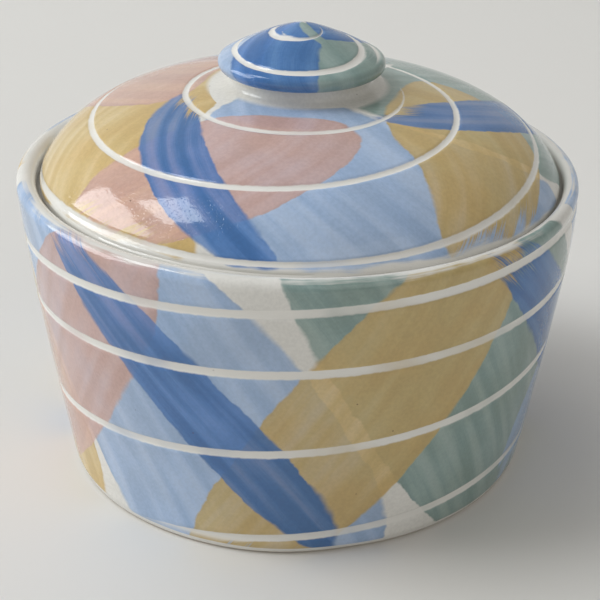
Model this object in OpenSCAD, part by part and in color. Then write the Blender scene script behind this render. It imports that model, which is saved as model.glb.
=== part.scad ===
// Lidded butter crock: a wheel-thrown pot with a ledge inside its lip, a domed lid that
// rests on the ledge, and a mushroom knob luted on the lid. The origin is the centre of
// the foot on the table, +Z is up, and every size is in millimetres.

/* [Crock] */
// Outer diameter at the lip
rim_d = 135; // [110:1:170]
// Outer diameter of the wall line at the table
base_d = 116; // [90:1:130]
// Height from the table to the top of the lip
crock_h = 73; // [55:1:100]
// How far the wall swells out of a straight taper, half way up
wall_belly = 0.9; // [0:0.1:3]
// Thickness of the wall
wall_t = 5; // [3.5:0.1:7]
// Thickness of the floor over the hollow of the foot
floor_t = 6; // [4:0.1:9]
// Height of the rounded corner between floor and wall, inside
floor_round_h = 9; // [4:0.5:14]

/* [Foot] */
// Height of the rounded heel at the outside of the foot
heel_h = 1.6; // [0.6:0.1:4]
// Width of the flat ring that stands on the table
foot_w = 7; // [4:0.5:12]
// Depth of the hollow turned inside the foot ring
foot_hollow = 2; // [1:0.1:4]

/* [Lid seat] */
// Thickness of the round lip that stands around the lid
lip_t = 4.8; // [3.5:0.1:6.5]
// Depth of the ledge below the top of the lip
seat_depth = 4.5; // [4:0.1:9]
// Width of the ledge that carries the lid
seat_w = 4.7; // [3.5:0.1:8]
// Thickness of the ledge at its inner edge
seat_t = 3.5; // [2:0.1:6]
// Height of the slope that braces the ledge from below
seat_brace_h = 4.5; // [2:0.1:8]
// Radius of the soft edges and corners of the ledge
seat_round = 0.8; // [0.3:0.1:1.2]

/* [Lid] */
// Gap all round between the edge of the lid and the lip
lid_gap = 0.9; // [0.4:0.1:1.2]
// Height of the lid from the ledge to the foot of the knob
lid_h = 22.6; // [16:0.2:34]
// Thickness of the lid
lid_t = 5; // [3.5:0.1:6]
// Height of the upright edge of the lid
lid_edge_h = 2.7; // [1.5:0.1:5]
// Radius that turns the upright edge into the dome
lid_edge_roll = 2.5; // [1:0.1:4]
// Radius of the lower outer corner of the lid
lid_heel_r = 0.8; // [0.3:0.1:1.4]
// Slope of the dome just above its edge, in degrees
dome_edge_slope = 65; // [50:1:80]
// Slope of the dome at the foot of the knob, in degrees
crown_slope = 5.5; // [0:0.5:12]
// Length over which the steep side of the dome holds its slope
shoulder_reach = 12.6; // [6:0.2:18]
// Length over which the crown stays nearly flat
crown_reach = 20; // [8:0.5:24]

/* [Knob] */
// Diameter of the knob at its widest
knob_d = 39.2; // [34:0.2:46]
// Height of the knob from the lid to its tip
knob_h = 15.2; // [13:0.1:24]
// Height of the knob's cone over its rolled edge
knob_cone_h = 7.5; // [4:0.1:9]
// Hollow or fullness of the cone: 1 is straight, more is rounder at the tip
knob_cone_power = 1.35; // [1.1:0.05:2.4]
// Radius of the rolled edge of the knob
knob_roll = 1.9; // [1:0.1:2.5]
// Diameter of the neck at its narrowest
neck_d = 32; // [22:0.5:34]
// Height of the narrowest place of the neck over the lid
neck_waist_h = 3.1; // [1.5:0.1:4]
// Diameter at which the flare of the neck meets the lid
neck_foot_d = 46; // [40:0.5:54]

/* [Hidden] */

$fn = 144;
curve_steps = 24;
round_steps = 8;

rim_r = rim_d / 2;
lip_r = lip_t / 2;
seat_z = crock_h - seat_depth;
gallery_r = rim_r - lip_t;
ledge_r = gallery_r - seat_w;
floor_z = foot_hollow + floor_t;
lid_r = gallery_r - lid_gap;
crown_z = seat_z + lid_h;
neck_foot_r = neck_foot_d / 2;
tip_z = crown_z + knob_h;

// Points of an arc about c, from angle a0 to angle a1
function arc(c, r, a0, a1) =
    [for (i = [0:round_steps])
        let (a = a0 + (a1 - a0) * i / round_steps)
        c + r * [cos(a), sin(a)]];

// Point and direction at share u of a cubic curve with end points p[0] and p[3]
function on_curve(p, u) =
    pow(1 - u, 3) * p[0] + 3 * u * pow(1 - u, 2) * p[1] + 3 * u * u * (1 - u) * p[2] + pow(u, 3) * p[3];
function along_curve(p, u) =
    pow(1 - u, 2) * (p[1] - p[0]) + 2 * u * (1 - u) * (p[2] - p[1]) + u * u * (p[3] - p[2]);

// Unit vector a quarter turn to the right of v, which is outwards on a line drawn upwards
function right_of(v) = [v[1], -v[0]] / norm(v);

// The curve, or the line that runs t inside it, from share u0 to share u1
function beside_curve(p, t, u) = on_curve(p, u) - t * right_of(along_curve(p, u));
function run(p, t, u0, u1) =
    [for (i = [0:curve_steps]) beside_curve(p, t, u0 + (u1 - u0) * i / curve_steps)];

// Share of the curve at which the line that runs t inside it reaches height z
function share_at(p, t, z, lo = 0, hi = 1, tries = 24) =
    let (mid = (lo + hi) / 2)
    tries == 0 ? mid
    : beside_curve(p, t, mid)[1] < z ? share_at(p, t, z, mid, hi, tries - 1)
    : share_at(p, t, z, lo, mid, tries - 1);

// A straight line from a to b that swells outwards by belly at its middle
function bowed(a, b, belly) =
    let (out = belly * 4 / 3 * right_of(b - a), third = (b - a) / 3)
    [a, a + third + out, b - third + out, b];

// Lean of the direction d from upright, in degrees
function lean(d) = atan2(d[0], d[1]);

// Round corner that leaves the flat at height z0 and ends at p, running along d
function round_corner(p, d, z0) =
    let (r = (p[1] - z0) / (1 - sin(lean(d))))
    arc(p - r * right_of(d), r, -90, -lean(d));

function reversed(v) = [for (i = [len(v) - 1:-1:0]) v[i]];

// Outer line of the wall, from the table to the side of the lip
lip_c = [rim_r - lip_r, crock_h - lip_r];
wall = bowed([base_d / 2, 0], [rim_r, lip_c[1]], wall_belly);
heel_u = share_at(wall, 0, heel_h);
brace_u = share_at(wall, wall_t, seat_z - seat_t - seat_brace_h);
floor_u = share_at(wall, wall_t, floor_z + floor_round_h);

// The thrown pot: foot ring, wall, round lip, and the ledge inside it for the lid
module crock_body() {
    heel = round_corner(on_curve(wall, heel_u), along_curve(wall, heel_u), 0);
    foot_r = heel[0][0] - foot_w;
    floor_corner = round_corner(
        beside_curve(wall, wall_t, floor_u), along_curve(wall, floor_u), floor_z);
    profile = concat(
        [[0, foot_hollow], [foot_r - foot_hollow, foot_hollow], [foot_r, 0]],
        heel,
        run(wall, 0, heel_u, 1),
        arc(lip_c, lip_r, 0, 180),
        reversed(arc([gallery_r - seat_round, seat_z + seat_round], seat_round, -90, 0)),
        arc([ledge_r + seat_round, seat_z - seat_round], seat_round, 90, 180),
        [[ledge_r, seat_z - seat_t]],
        run(wall, wall_t, brace_u, floor_u),
        reversed(floor_corner),
        [[0, floor_z]]);
    color("#c3d2ea")
        rotate_extrude()
            polygon(profile);
}

// Outer line of the dome, from its rolled edge to the foot of the knob
edge_turn = arc([lid_r - lid_edge_roll, seat_z + lid_edge_h], lid_edge_roll, 0, 90 - dome_edge_slope);
dome_foot = edge_turn[round_steps];
dome_top = [neck_foot_r, crown_z];
dome = [
    dome_foot,
    dome_foot + shoulder_reach * [-cos(dome_edge_slope), sin(dome_edge_slope)],
    dome_top + crown_reach * [cos(crown_slope), -sin(crown_slope)],
    dome_top];

// The lid: a shouldered dome, hollow below, with a flat ring that rests on the ledge
module lid() {
    hollow = run(dome, lid_t, 1, 0);
    rest_r = hollow[curve_steps][0];
    profile = concat(
        [[0, crown_z - lid_t]],
        hollow,
        [[rest_r, seat_z]],
        arc([lid_r - lid_heel_r, seat_z + lid_heel_r], lid_heel_r, -90, 0),
        edge_turn,
        run(dome, 0, 0, 1),
        [[0, crown_z]]);
    color("#d8c9a4")
        rotate_extrude()
            polygon(profile);
}

// The knob: a flared neck that stands flat on the lid, a rolled edge and a low cone
module lid_knob() {
    waist = [neck_d / 2, crown_z + neck_waist_h];
    flare_turn = [waist[0], crown_z + (neck_foot_r - waist[0]) * tan(crown_slope)];
    flare = [dome_top, flare_turn, flare_turn, waist];
    // The cone meets the rolled edge at the same slope
    roll_c_r = knob_d / 2 - knob_roll;
    cone_slope = atan(knob_cone_power * knob_cone_h / (roll_c_r + knob_roll / 2));
    cone_r = roll_c_r + knob_roll * sin(cone_slope);
    roll_c = [roll_c_r, tip_z - knob_cone_h - knob_roll * cos(cone_slope)];
    roll = arc(roll_c, knob_roll, -90, 90 - cone_slope);
    // The neck turns out again, from its waist to the level underside of the edge
    throat_turn = [waist[0], roll[0][1]];
    throat = [waist, throat_turn, throat_turn, roll[0]];
    profile = concat(
        [[0, crown_z]],
        run(flare, 0, 0, 1),
        run(throat, 0, 0, 1),
        roll,
        [for (i = [1:curve_steps])
            let (r = cone_r * (1 - i / curve_steps))
            [r, tip_z - knob_cone_h * pow(r / cone_r, knob_cone_power)]]);
    color("#7f9fcf")
        rotate_extrude()
            polygon(profile);
}

crock_body();
lid();
lid_knob();
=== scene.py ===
# %% [markdown]
# # A hand-thrown butter crock
#
# The real thing is three pieces of white clay: a pot, a lid that sits on a ledge inside its lip, and a
# knob that was luted on the lid. They were brushed with thin underglaze colours, a line was cut through
# the colour while the wheel turned, and everything got a clear, glossy glaze. This lesson dresses the
# solid model of the crock in that finish. The frame is in metres, with +Z up and the foot on the floor.

# %% Load the frame
import math

import bpy
import numpy as np
from mathutils import Matrix, Vector


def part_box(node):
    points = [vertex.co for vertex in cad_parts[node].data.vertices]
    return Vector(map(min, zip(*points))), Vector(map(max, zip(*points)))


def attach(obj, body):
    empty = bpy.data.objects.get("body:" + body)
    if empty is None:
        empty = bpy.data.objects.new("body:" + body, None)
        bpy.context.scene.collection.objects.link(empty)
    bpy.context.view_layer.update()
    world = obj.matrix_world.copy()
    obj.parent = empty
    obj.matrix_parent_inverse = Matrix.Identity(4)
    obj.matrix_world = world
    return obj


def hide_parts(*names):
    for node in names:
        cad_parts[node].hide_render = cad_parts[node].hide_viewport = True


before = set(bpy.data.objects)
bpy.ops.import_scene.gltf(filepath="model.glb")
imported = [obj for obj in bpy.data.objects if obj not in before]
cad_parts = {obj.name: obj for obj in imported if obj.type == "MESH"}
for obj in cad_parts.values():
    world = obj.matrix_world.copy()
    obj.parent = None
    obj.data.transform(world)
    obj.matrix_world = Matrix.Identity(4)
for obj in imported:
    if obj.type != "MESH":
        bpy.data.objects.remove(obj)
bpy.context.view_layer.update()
scene = bpy.context.scene

# %% [markdown]
# The main sizes come from the frame, so the finish always fits the solids. A turned piece is as wide as
# its box, and the places where the pieces meet are the lower and upper ends of the boxes.

# %% Sizes taken from the frame
MM = 0.001


def half_width(node):
    """The radius of a turned node."""
    low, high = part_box(node)
    return max(high.x - low.x, high.y - low.y) / 2


RIM_R = half_width("crock_body")
LIP_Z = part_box("crock_body")[1].z
LID_R = half_width("lid")
SEAT_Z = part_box("lid")[0].z
CROWN_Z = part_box("lid_knob")[0].z
NECK_FOOT_R = half_width("lid_knob")
TIP_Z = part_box("lid_knob")[1].z
print("lip", round(RIM_R / MM, 1), "x", round(LIP_Z / MM, 1), "mm; tip at", round(TIP_Z / MM, 1), "mm")

# %% [markdown]
# The camera comes first. The photograph was taken from close by, a little above the lid, and with the
# camera turned by about one degree. A constraint could aim the camera, but it would keep it level. Three
# directions in a matrix give the roll as well.

# %% Camera
CAMERA_DISTANCE = 342.9 * MM
CAMERA_ELEVATION = math.radians(27.29)
CAMERA_ROLL = math.radians(0.98)
CAMERA_AIM = Vector((0.54 * MM, 0, 34.6 * MM))
CAMERA_LENS = 81.2
CAMERA_NEAR = 10 * MM

sight = Vector((0, math.cos(CAMERA_ELEVATION), -math.sin(CAMERA_ELEVATION)))
level = Vector((1, 0, 0))
upright = level.cross(sight)
side = level * math.cos(CAMERA_ROLL) + upright * math.sin(CAMERA_ROLL)
top = upright * math.cos(CAMERA_ROLL) - level * math.sin(CAMERA_ROLL)
turn = Matrix((side, top, -sight)).transposed().to_4x4()

camera = bpy.data.objects.new("camera", bpy.data.cameras.new("camera"))
camera.data.lens = CAMERA_LENS
camera.data.clip_start = CAMERA_NEAR
camera.matrix_world = Matrix.Translation(CAMERA_AIM - sight * CAMERA_DISTANCE) @ turn
scene.collection.objects.link(camera)
scene.camera = camera
print("camera at", [round(v, 3) for v in camera.location])

# %% [markdown]
# Shader and geometry node trees are written as arithmetic. One small class wraps a socket: an operator
# on it adds a Math node, and its `node` method adds any other node, with its settings first and its
# sockets after.


# %% Wires: node trees as expressions
def pick(sockets, key):
    """The socket of that number, identifier or name."""
    if isinstance(key, int):
        return sockets[key]
    for socket in sockets:
        if socket.identifier == key:
            return socket
    return sockets[key]


class Wire:
    """One output socket. Arithmetic on it adds Math nodes to its tree."""

    def __init__(self, socket):
        self.socket = socket
        self.tree = socket.id_data

    @staticmethod
    def node(tree, kind, settings=None, sockets=None, out=0):
        """Adds a node, sets its settings, feeds its sockets and returns one of its outputs."""
        made = tree.nodes.new(kind)
        for name, value in (settings or {}).items():
            if name == "stops":
                Wire.set_stops(made.color_ramp, value)
            else:
                setattr(made, name, value)
        for key, value in (sockets or {}).items():
            socket = pick(made.inputs, key)
            if isinstance(value, Wire):
                tree.links.new(value.socket, socket)
            else:
                socket.default_value = value
        return Wire(pick(made.outputs, out)) if made.outputs else made

    @staticmethod
    def set_stops(ramp, stops):
        """Gives a colour ramp one plain step of colour for each stop."""
        ramp.interpolation = "CONSTANT"
        while len(ramp.elements) < len(stops):
            ramp.elements.new(1.0)
        for element, (place, colour) in zip(ramp.elements, stops):
            element.position = place
            element.color = colour

    def out(self, key):
        """Another output of the same node."""
        return Wire(pick(self.socket.node.outputs, key))

    def math(self, operation, *values):
        """A Math node with this wire in its first socket."""
        sockets = dict(enumerate((self, *values)))
        return Wire.node(self.tree, "ShaderNodeMath", {"operation": operation}, sockets)

    def math_after(self, operation, first):
        """A Math node with this wire in its second socket."""
        return Wire.node(self.tree, "ShaderNodeMath", {"operation": operation}, {0: first, 1: self})

    def __add__(self, other):
        return self.math("ADD", other)

    def __radd__(self, other):
        return self.math("ADD", other)

    def __sub__(self, other):
        return self.math("SUBTRACT", other)

    def __rsub__(self, other):
        return self.math_after("SUBTRACT", other)

    def __mul__(self, other):
        return self.math("MULTIPLY", other)

    def __rmul__(self, other):
        return self.math("MULTIPLY", other)

    def __truediv__(self, other):
        return self.math("DIVIDE", other)

    def __rtruediv__(self, other):
        return self.math_after("DIVIDE", other)

    def __pow__(self, other):
        return self.math("POWER", other)

    def __abs__(self):
        return self.math("ABSOLUTE")

    def between(self, low, high, to_low=0.0, to_high=1.0):
        """A soft step: to_low up to low, to_high from high on."""
        sockets = {"Value": self, "From Min": low, "From Max": high, "To Min": to_low, "To Max": to_high}
        return Wire.node(self.tree, "ShaderNodeMapRange", {"interpolation_type": "SMOOTHSTEP"}, sockets)

    def xyz(self):
        """The three parts of a vector."""
        parts = Wire.node(self.tree, "ShaderNodeSeparateXYZ", None, {0: self})
        return parts, parts.out(1), parts.out(2)


def vector(tree, x, y, z):
    """A vector wire from three parts."""
    return Wire.node(tree, "ShaderNodeCombineXYZ", None, {0: x, 1: y, 2: z})


def noise(place, size=1.0, detail=2.0, roughness=0.5):
    """Cloudy noise from 0 to 1 at a place, which is a vector wire. Its clouds are about size across."""
    sockets = {"Vector": place, "Scale": 1 / size, "Detail": detail, "Roughness": roughness}
    return Wire.node(place.tree, "ShaderNodeTexNoise", None, sockets)


print("wires ready")

# %% [markdown]
# A potter shapes a pot by its outline, so each piece starts as a profile: a line of points in the half
# plane beside the axis. The points could be typed in one by one, but then no size could be changed.
# Arcs and curves are worked out from a few sizes instead, as they are in the solid model. A profile is
# traced with the clay on its left, from below, round the outside, and back to the axis.

# %% Profiles: the lines that are turned
FINE_STEP = 0.62 * MM
SOFT_STEP = 0.42 * MM
PLAIN_STEP = 2.4 * MM
CURVE_SAMPLES = 400


def arc(centre, radius, start, end, step=SOFT_STEP):
    """Points of an arc about a centre, from one angle in degrees to another."""
    count = max(3, round(abs(math.radians(end - start)) * radius / step))
    angles = np.radians(np.linspace(start, end, count + 1))
    return np.array(centre) + radius * np.stack([np.cos(angles), np.sin(angles)], 1)


def reach_along(points):
    """How far along a line each of its points lies."""
    return np.concatenate([[0], np.cumsum(np.hypot(*np.diff(points, axis=0).T))])


def evenly(points, step):
    """The same line with its points about a step apart."""
    points = np.asarray(points, float)
    reach = reach_along(points)
    count = max(1, round(reach[-1] / step))
    places = np.linspace(0, reach[-1], count + 1)
    return np.stack([np.interp(places, reach, points[:, i]) for i in (0, 1)], 1)


def right_of(line):
    """The length of the step at each point of a line, and the unit vector to the right of it."""
    way = np.gradient(line, axis=0)
    step = np.hypot(way[:, 0], way[:, 1])
    return step, np.stack([way[:, 1], -way[:, 0]], 1) / step[:, None]


def curve(a, b, c, d, step, inset=0.0):
    """A cubic curve with its handles b and c, or the line that runs inset inside it."""
    a, b, c, d = (np.array(p, float) for p in (a, b, c, d))
    u = np.linspace(0, 1, CURVE_SAMPLES)[:, None]
    line = (1 - u) ** 3 * a + 3 * u * (1 - u) ** 2 * b + 3 * u * u * (1 - u) * c + u**3 * d
    _, right = right_of(line)
    return evenly(line - inset * right, step)


def swell(a, b, belly):
    """Handles that bow the line from a to b outwards by belly at its middle."""
    a, b = np.array(a), np.array(b)
    third = (b - a) / 3
    out = np.array([b[1] - a[1], a[0] - b[0]]) / math.dist(a, b) * belly * 4 / 3
    return a, a + third + out, b - third + out, b


print("profiles are drawn", FINE_STEP / MM, "mm apart where the glaze shows")

# %% [markdown]
# The drawn line winds clockwise and outwards, seen from above. A few stops say where it has come to
# after so many turns: its height on the wall, its distance in from the lid's edge, and its radius on
# the knob. It was drawn by hand on a turning wheel, so its turns aren't evenly spaced, and each spiral
# sways towards one side. The line could be a curve laid on the pot, but it is a groove and a colour at
# once. So each profile point carries how many turns the line has made there and how far apart they lie,
# and both are made from that.

# %% The rule of the drawn line
WALL_LINE = {
    "stops": ((-0.6, 75.7), (0, 66.4), (1, 50.9), (1.4, 45.7))
    + ((2, 32.5), (2.4, 20.6), (3, 7.6), (3.4, -3.3)),
    "start": math.radians(328),
    "begins": -0.5,
    "width": 2.1,
    "sway": 2.4,
    "side": math.radians(126),
}
LID_LINE = {
    "stops": ((-0.3, 48.0), (0, 45.1), (0.45, 41.5), (0.9, 35.6), (1.2, 24.5), (1.46, 17.3))
    + ((2, 10.4), (2.14, 7.2), (2.28, 6.2), (2.37, 4.0), (2.44, 0.0), (2.7, -12.0)),
    "start": math.radians(343),
    "begins": -0.03,
    "width": 1.5,
    "sway": 5.0,
    "side": math.radians(270),
}
KNOB_LINE = {
    "stops": ((-0.4, 2.4), (0, 3.9), (0.15, 4.3), (0.9, 13.6), (1.1, 14.7), (1.35, 15.4), (2.2, 19.5)),
    "start": math.radians(313),
    "begins": -0.06,
    "width": 1.5,
    "sway": 2.6,
    "side": math.radians(270),
}
LINE_EASE = 0.12
LINE_SAMPLES = 1500


def line_rule(line):
    """A function from places in mm to the turns of the line there and the width of one turn."""
    turns, places = np.array(line["stops"], float).T
    fine = np.linspace(turns[0] - LINE_EASE, turns[-1] + LINE_EASE, LINE_SAMPLES)
    slope = np.diff(places) / np.diff(turns)
    way = np.interp(fine, turns, places)
    way = np.where(fine < turns[0], places[0] + slope[0] * (fine - turns[0]), way)
    way = np.where(fine > turns[-1], places[-1] + slope[-1] * (fine - turns[-1]), way)
    reach = round(LINE_EASE / (fine[1] - fine[0]))
    window = np.hanning(2 * reach + 1)
    way = np.convolve(way, window / window.sum(), "valid")
    fine = fine[reach:-reach]
    pitch = abs(np.gradient(way, fine))
    order = np.argsort(way)

    def turns_at(place):
        return np.interp(place, way[order], fine[order]), np.interp(place, way[order], pitch[order])

    return turns_at


wall_turns = line_rule(WALL_LINE)
lid_turns = line_rule(LID_LINE)
knob_turns = line_rule(KNOB_LINE)
print("line meets the foot after", round(float(wall_turns(0.0)[0]), 2), "turns")

# %% [markdown]
# A zone is a stretch of a profile with one finish. `painted` stretches take colour, `lined` ones the
# drawn line, and `bare` ones were wiped clean of glaze before firing. The `hand` weight says how much a
# stretch may waver: the seat and the foot stay true, because pieces meet there. `pressed` stretches
# give way on the side where a thumb pushed the soft lip in. Where the number is below zero, the soft
# foot spread outwards.

# %% Zones of a profile
HAND_PLACES = (0, 0.3, 0.7, 1)
HAND_STILL = (0, 0, 0, 0)


def join_zones(zones):
    """The points of all zones, what each point carries, and which one the distance is counted from."""
    points = []
    rows = {"painted": [], "bare": [], "lined": [], "pressed": [], "hand": []}
    first = 0
    for zone in zones:
        line = zone["line"]
        run = line[1:] if points else line
        if zone.get("first"):
            first = max(len(points) - 1, 0)
        points.extend(run)
        for label in ("painted", "bare", "lined", "pressed"):
            rows[label].extend(np.broadcast_to(zone.get(label, 0.0), len(line))[-len(run):])
        weights = zone.get("hand", HAND_STILL)
        rows["hand"].extend(np.interp(np.linspace(0, 1, len(run)), HAND_PLACES, weights))
    return np.array(points), rows, first


def paint_edge(line, height, fade):
    """A ramp that passes 0.5 where the paint ends: it falls with height, or rises for a negative fade."""
    return np.clip(0.5 + (height - line[:, 1]) / fade, -1, 3)


print("a zone gives its hand weight at", HAND_PLACES, "of its length")

# %% [markdown]
# The joined zones become a polyline, and what its points carry becomes mesh attributes, because
# attributes are what a node tree can read. Weights that jump are smoothed over a few rows first.
# Otherwise the clay would have a step where two zones meet.

# %% A profile as a mesh with attributes
PULL_SHARE = 0.6
PULL_ROWS = 25
HAND_ROWS = 5


def smooth(values, rows):
    """The mean of each value and its neighbours, over an odd number of rows. It is 0 on the axis."""
    mean = np.convolve(np.pad(values, rows // 2, "edge"), np.ones(rows) / rows, "valid")
    mean[[0, -1]] = 0
    return mean


def least(values, rows):
    """The least of each value and its neighbours, over an odd number of rows."""
    near = np.lib.stride_tricks.sliding_window_view(np.pad(values, rows // 2, "edge"), rows)
    return near.min(1)


def rows_inside(marked):
    """How many rows each row lies inside a marked stretch: 0 outside it, and on the axis at the end."""
    outside = np.append(np.flatnonzero(np.array(marked) == 0), len(marked) - 1)
    return abs(np.arange(len(marked))[:, None] - outside[None, :]).min(1)


def profile_mesh(name, zones, turns_at, start=0.0):
    """A polyline in the XZ plane whose points carry the line, the finish and the feel of their zones.

    The distance along the profile is counted in mm from the zone that is marked first, which is at start.
    The distance at the end of the profile's lined part is returned with the mesh.
    """
    points, rows, first = join_zones(zones)
    step, normal = right_of(points)
    per_mm = MM / step
    along = reach_along(points) / MM
    along += start - along[first]
    turns, pitch = turns_at(points / MM, along)
    pull = smooth(least(pitch * per_mm, PULL_ROWS), PULL_ROWS) * PULL_SHARE / math.tau
    carried = {
        "lie": (normal[:, 0], normal[:, 1], per_mm),
        "spiral": (turns, pitch, pull),
        "paint": (rows["painted"], rows["bare"], rows_inside(rows["lined"])),
        "feel": (smooth(rows["hand"], HAND_ROWS), along, smooth(rows["pressed"], HAND_ROWS)),
    }

    mesh = bpy.data.meshes.new(name)
    mesh.from_pydata([(r, 0, z) for r, z in points], [(i, i + 1) for i in range(len(points) - 1)], [])
    for label, parts in carried.items():
        layer = mesh.attributes.new(label, "FLOAT_VECTOR", "POINT")
        layer.data.foreach_set("vector", np.stack(parts, 1).astype(np.float32).ravel())
    end = float(along[np.flatnonzero(rows["lined"])[-1]])
    print(name, "has", len(points), "rows and is lined up to", round(end, 1), "mm")
    return mesh, end


# %% [markdown]
# The wheel is a Geometry Nodes tree. A Screw modifier could turn a profile too, but it would turn it
# true, and no hand-thrown pot is true. So a flat grid gets one row for each profile point and one
# column for each step of the turn, and every grid point is moved to its own place on the turned form.

# %% The wheel: inputs and grid
WHEEL_INPUTS = (
    ("Profile", "NodeSocketGeometry", None),
    ("Columns", "NodeSocketInt", 432),
    ("Line start", "NodeSocketFloat", 0.0),
    ("Line begins", "NodeSocketFloat", 0.0),
    ("Line width", "NodeSocketFloat", 2.0),
    ("Line depth", "NodeSocketFloat", 0.3),
    ("Line sway", "NodeSocketFloat", 0.0),
    ("Line side", "NodeSocketFloat", 0.0),
    ("Line waver", "NodeSocketFloat", 0.4),
    ("Ring depth", "NodeSocketFloat", 0.14),
    ("Out of round", "NodeSocketFloat", 0.5),
    ("Press depth", "NodeSocketFloat", 0.0),
    ("Spread depth", "NodeSocketFloat", 0.0),
    ("Spread side", "NodeSocketFloat", 0.0),
    ("Seed", "NodeSocketFloat", 0.0),
    ("Clay", "NodeSocketMaterial", None),
)


def start_wheel():
    """A new tree with the wheel's inputs, its flat grid, and the row and angle of a grid point."""
    tree = bpy.data.node_groups.new("wheel", "GeometryNodeTree")
    for name, kind, value in WHEEL_INPUTS:
        socket = tree.interface.new_socket(name, in_out="INPUT", socket_type=kind)
        if value is not None:
            socket.default_value = value
    tree.interface.new_socket("Turned", in_out="OUTPUT", socket_type="NodeSocketGeometry")
    given = Wire.node(tree, "NodeGroupInput").out
    sockets = {0: given("Profile")}
    rows = Wire.node(tree, "GeometryNodeAttributeDomainSize", {"component": "MESH"}, sockets, "Point Count")
    sockets = {0: 1.0, 1: 1.0, 2: rows, 3: given("Columns") + 1.0}
    grid = Wire.node(tree, "GeometryNodeMeshGrid", None, sockets, "Mesh")
    x, y, _ = Wire.node(tree, "GeometryNodeInputPosition").xyz()
    last = rows - 1.0
    angle = (y + 0.5) * math.tau
    cos = angle.math("COSINE")
    sin = angle.math("SINE")
    row = (x + 0.5) * last
    return {
        "tree": tree, "given": given, "grid": grid,
        "row": row, "last": last, "angle": angle, "cos": cos, "sin": sin,
    }


print("wheel takes", len(WHEEL_INPUTS), "inputs")

# %% [markdown]
# The steps of the wheel read the profile at a row, or at a place between two rows. The drawn line lies
# where its turns and the turn of the wheel agree. Noise that is sampled on a circle comes back to where
# it began, so a wavering line or a throwing ring has no seam.

# %% The wheel: reading the profile and the line
DRIFT_ROUND = 1.3
DRIFT_RISE = 0.9


def of_row(wheel, label, index):
    """What the profile carries at a whole row."""
    tree = wheel["tree"]
    if label == "position":
        value = Wire.node(tree, "GeometryNodeInputPosition")
    else:
        value = Wire.node(tree, "GeometryNodeInputNamedAttribute", {"data_type": "FLOAT_VECTOR"}, {0: label})
    settings = {"data_type": "FLOAT_VECTOR", "domain": "POINT", "clamp": True}
    sockets = {"Geometry": wheel["given"]("Profile"), "Value": value, "Index": index}
    return Wire.node(tree, "GeometryNodeSampleIndex", settings, sockets)


def between_rows(wheel, label, place):
    """What the profile carries at a place between two rows, in its three parts."""
    lower = place.math("FLOOR")
    sockets = {
        "Factor_Float": place - lower,
        "A_Vector": of_row(wheel, label, lower),
        "B_Vector": of_row(wheel, label, lower + 1.0),
    }
    mixed = Wire.node(wheel["tree"], "ShaderNodeMix", {"data_type": "VECTOR"}, sockets, "Result_Vector")
    return mixed.xyz()


def on_profile(wheel, place):
    """A place between rows, kept from running past the ends of the profile."""
    return place.math("MAXIMUM", 0.0).math("MINIMUM", wheel["last"])


def round_noise(wheel, reach, height, detail):
    """Noise that closes on itself after a turn. With more reach it changes more on the way round."""
    height = height + wheel["given"]("Seed")
    return noise(vector(wheel["tree"], wheel["cos"] * reach, wheel["sin"] * reach, height), 1.0, detail)


def line_turns(wheel, place):
    """Turns past the drawn line, which lies at whole numbers, and the line's turns, pitch and pull there."""
    given = wheel["given"]
    _, _, per_mm = between_rows(wheel, "lie", place)
    sway = given("Line sway") * (wheel["angle"] - given("Line side")).math("COSINE") * per_mm
    turns, pitch, pull = between_rows(wheel, "spiral", on_profile(wheel, place + sway))
    share = (given("Line start") - wheel["angle"]) / math.tau
    drift = round_noise(wheel, DRIFT_ROUND, turns * DRIFT_RISE, 1.0) - 0.5
    past = turns - share - drift * 2.0 * given("Line waver") / pitch
    return past, turns, pitch, pull


print("the drift of the line is read from noise on a circle of", DRIFT_ROUND)

# %% [markdown]
# The rows are drawn together near the line, so that its groove has crisp, even walls. The hand that held
# the clay shows as faint throwing rings and as a form that isn't quite round. A bump in the shader could
# fake all this, but real cuts show in the outline too.

# %% The wheel: marks of the tool and of the hand
GROOVE_WALL = 0.45
SPREAD_REACH = 0.7
BEGIN_FADE = 0.12
LINE_FADE = 3.0
PULL_FADE = 14.0
RING_ROUND = 0.35
RING_RISE = 0.17
HAND_ROUND = 0.9
HAND_RISE = 0.012


def drawn_together(wheel):
    """The rows of the grid, closer together near the line. The ends of its stretch stay in place."""
    row = wheel["row"]
    _, _, inside = of_row(wheel, "paint", (row + 0.5).math("FLOOR")).xyz()
    past, _, _, pull = line_turns(wheel, row)
    return on_profile(wheel, row + (past * math.tau).math("SINE") * pull * inside.between(0.0, PULL_FADE))


def line_marks(wheel, place, inside):
    """How far a place lies from the line, in mm, and how much of the line shows there."""
    past, turns, pitch, _ = line_turns(wheel, place)
    gap = abs(past - past.math("ROUND")) * pitch
    begins = wheel["given"]("Line begins")
    return gap, inside.between(0.0, LINE_FADE) * turns.between(begins, begins + BEGIN_FADE)


def cut_depth(wheel, gap, shown, hand, along):
    """Groove, throwing rings and an uneven hand, all cut into the clay, in mm."""
    given = wheel["given"]
    half = given("Line width") * 0.5
    groove = gap.between(half - GROOVE_WALL, half + GROOVE_WALL, 1.0, 0.0) * given("Line depth") * shown
    rings = round_noise(wheel, RING_ROUND, along * RING_RISE, 1.0) * given("Ring depth")
    uneven = round_noise(wheel, HAND_ROUND, along * HAND_RISE, 0.0) * given("Out of round")
    return groove + (rings + uneven) * hand


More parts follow.
